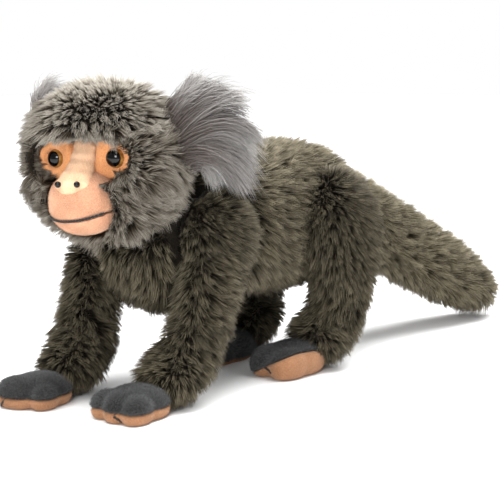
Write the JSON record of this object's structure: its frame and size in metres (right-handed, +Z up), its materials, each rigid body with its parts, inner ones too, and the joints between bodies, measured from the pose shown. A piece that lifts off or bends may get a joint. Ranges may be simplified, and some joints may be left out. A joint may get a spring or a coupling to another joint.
{
  "type": "stuffed marmoset monkey",
  "caption": "Soft plush marmoset monkey standing on four paws, with a turning head, silky ear tufts, swinging limbs and a long bendable tail.",
  "frame": {"origin": "on the standing surface, under the middle of the toy's own box", "axes": "+X to the toy's left, +Y from its nose to its tail, +Z up from the standing surface"},
  "size_m": [0.1299, 0.4283, 0.195],
  "materials": {
    "long_pile": "long plush pile, dark roots and pale tips",
    "silky_pile": "long fine silky hair",
    "face_velour": "short apricot velour",
    "palm_velour": "short tan velour",
    "paw_velour": "short charcoal velour",
    "stuffing": "polyester fibre",
    "pellet_bag": "cotton bag of plastic pellets",
    "thread": "black sewing thread",
    "eye_amber": "clear amber moulding",
    "eye_black": "gloss black moulding",
    "washer": "white locking washer"
  },
  "bodies": {
    "torso": {"body_left_panel": "long_pile", "body_right_panel": "long_pile", "belly_gusset": "long_pile", "body_upper_stuffing": "stuffing", "body_lower_stuffing": "stuffing", "pellet_bag": "pellet_bag"},
    "neck": {"neck_stuffing": "stuffing"},
    "head": {"head_left_panel": "long_pile", "head_right_panel": "long_pile", "crown_gusset": "long_pile", "head_stuffing": "stuffing", "nose_bridge": "face_velour", "muzzle": "face_velour", "chin": "face_velour", "mouth_thread": "thread", "left_eye_patch": "face_velour", "left_eye": "eye_amber", "left_pupil": "eye_black", "left_eye_washer": "washer", "left_nostril": "thread", "right_eye_patch": "face_velour", "right_eye": "eye_amber", "right_pupil": "eye_black", "right_eye_washer": "washer", "right_nostril": "thread"},
    "left_ear": {"left_ear_pad": "paw_velour", "left_ear_tuft": "silky_pile"},
    "right_ear": {"right_ear_pad": "paw_velour", "right_ear_tuft": "silky_pile"},
    "left_arm": {"left_arm_cover": "long_pile", "left_arm_stuffing": "stuffing", "left_hand_top": "paw_velour", "left_palm": "palm_velour", "left_finger_thread": "thread"},
    "right_arm": {"right_arm_cover": "long_pile", "right_arm_stuffing": "stuffing", "right_hand_top": "paw_velour", "right_palm": "palm_velour", "right_finger_thread": "thread"},
    "left_leg": {"left_leg_cover": "long_pile", "left_leg_stuffing": "stuffing", "left_foot_top": "paw_velour", "left_sole": "palm_velour", "left_toe_thread": "thread"},
    "right_leg": {"right_leg_cover": "long_pile", "right_leg_stuffing": "stuffing", "right_foot_top": "paw_velour", "right_sole": "palm_velour", "right_toe_thread": "thread"},
    "tail_base": {"tail_base_cover": "long_pile", "tail_base_stuffing": "stuffing"},
    "tail_tip": {"tail_tip_cover": "long_pile", "tail_tip_stuffing": "stuffing"}
  },
  "joints": [
    {"name": "neck_turn", "type": "hinge", "parent": "torso", "child": "neck", "pos_m": [0.0085, -0.1608, 0.149], "axis": [0, -0.7071, 0.7071], "range_deg": [-30, 30], "stiffness_Nm_per_rad": 1.2},
    {"name": "head_nod", "type": "hinge", "parent": "neck", "child": "head", "pos_m": [0.0085, -0.1608, 0.149], "axis": [0.9659, 0.2588, 0], "range_deg": [-15, 15], "stiffness_Nm_per_rad": 1.6},
    {"name": "left_ear_flick", "type": "hinge", "parent": "head", "child": "left_ear", "pos_m": [0.04754, -0.14206, 0.16401], "axis": [0.0674, 0.0181, -0.9976], "range_deg": [0, 25], "stiffness_Nm_per_rad": 0.05},
    {"name": "right_ear_flick", "type": "hinge", "parent": "head", "child": "right_ear", "pos_m": [-0.03629, -0.16452, 0.15794], "axis": [-0.0674, -0.0181, 0.9976], "range_deg": [0, 25], "stiffness_Nm_per_rad": 0.05},
    {"name": "left_shoulder_swing", "type": "hinge", "parent": "torso", "child": "left_arm", "pos_m": [0.0085, -0.0998, 0.098], "axis": [1, 0, 0], "range_deg": [-25, 25], "stiffness_Nm_per_rad": 1.8},
    {"name": "right_shoulder_swing", "type": "hinge", "parent": "torso", "child": "right_arm", "pos_m": [0.0085, -0.0998, 0.098], "axis": [1, 0, 0], "range_deg": [-25, 25], "stiffness_Nm_per_rad": 1.8},
    {"name": "left_hip_swing", "type": "hinge", "parent": "torso", "child": "left_leg", "pos_m": [0.0085, 0.0112, 0.092], "axis": [1, 0, 0], "range_deg": [-25, 25], "stiffness_Nm_per_rad": 1.8},
    {"name": "right_hip_swing", "type": "hinge", "parent": "torso", "child": "right_leg", "pos_m": [0.0085, 0.0112, 0.092], "axis": [1, 0, 0], "range_deg": [-25, 25], "stiffness_Nm_per_rad": 1.8},
    {"name": "tail_lift", "type": "hinge", "parent": "torso", "child": "tail_base", "pos_m": [0.0085, 0.0602, 0.095], "axis": [1, 0, 0], "range_deg": [-4, 45], "stiffness_Nm_per_rad": 0.8},
    {"name": "tail_curl", "type": "hinge", "parent": "tail_base", "child": "tail_tip", "pos_m": [0.0105, 0.1302, 0.057], "axis": [0, 0.481, 0.8767], "range_deg": [-30, 30], "stiffness_Nm_per_rad": 0.5}
  ]
}
